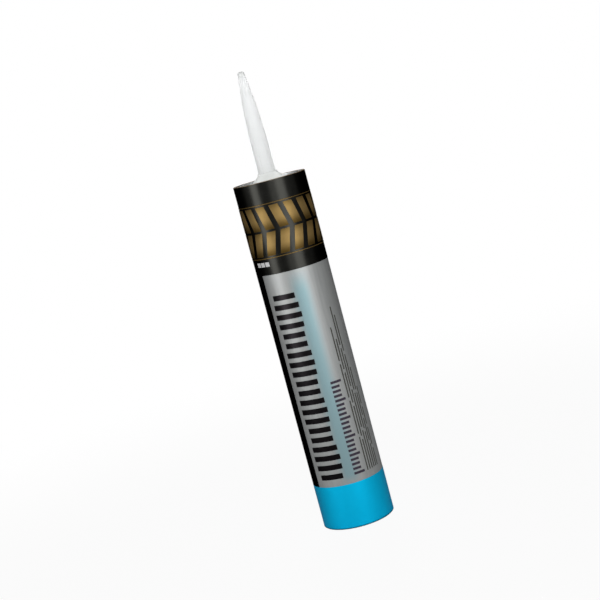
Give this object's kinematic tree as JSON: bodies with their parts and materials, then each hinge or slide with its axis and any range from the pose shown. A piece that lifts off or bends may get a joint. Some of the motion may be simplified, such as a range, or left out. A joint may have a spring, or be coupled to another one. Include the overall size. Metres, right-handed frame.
{
  "type": "caulk tube",
  "caption": "Large sealant cartridge: label-wrapped fibre tube with a recessed moulded end, a long closed nozzle and a plunger that slides up the bore.",
  "frame": {"origin": "centre of the tube's rear end, on the surface it stands on", "axes": "+Z along the tube from the open rear end to the nozzle's tip, -Y out of the middle of the label's front"},
  "size_m": [0.064, 0.064, 0.4034],
  "materials": {
    "board": "wound kraft board, matt",
    "foil": "rolled foil, satin",
    "silver_label": "metallic silver, varnished",
    "black_ink": "gloss black",
    "cyan_ink": "gloss cyan",
    "gold_ink": "metallic gold, gloss",
    "bar_ink": "gloss black",
    "pale_cyan_ink": "translucent pale cyan over silver",
    "grey_ink": "grey, varnished",
    "dark_grey_ink": "dark grey, varnished",
    "pale_ink": "pale grey, varnished",
    "white_plastic": "natural white moulded polyethylene, waxy",
    "plunger_plastic": "natural moulded polyethylene",
    "sealant": "soft paste"
  },
  "bodies": {
    "cartridge": {"fibre_tube": "board", "foil_liner": "foil", "label_sheet": "silver_label", "black_print": "black_ink", "cyan_print": "cyan_ink", "gold_print": "gold_ink", "bar_print": "bar_ink", "glow_print": "pale_cyan_ink", "tick_print": "grey_ink", "line_print": "dark_grey_ink", "white_print": "pale_ink", "nozzle_cap": "white_plastic", "nozzle_seal": "foil", "sealant": "sealant"},
    "plunger": {"plunger": "plunger_plastic"}
  },
  "joints": [
    {"name": "plunger_slide", "type": "slide", "parent": "cartridge", "child": "plunger", "axis": [0, 0, 1], "range_m": [0, 0.2689], "deforming": ["sealant"]}
  ]
}
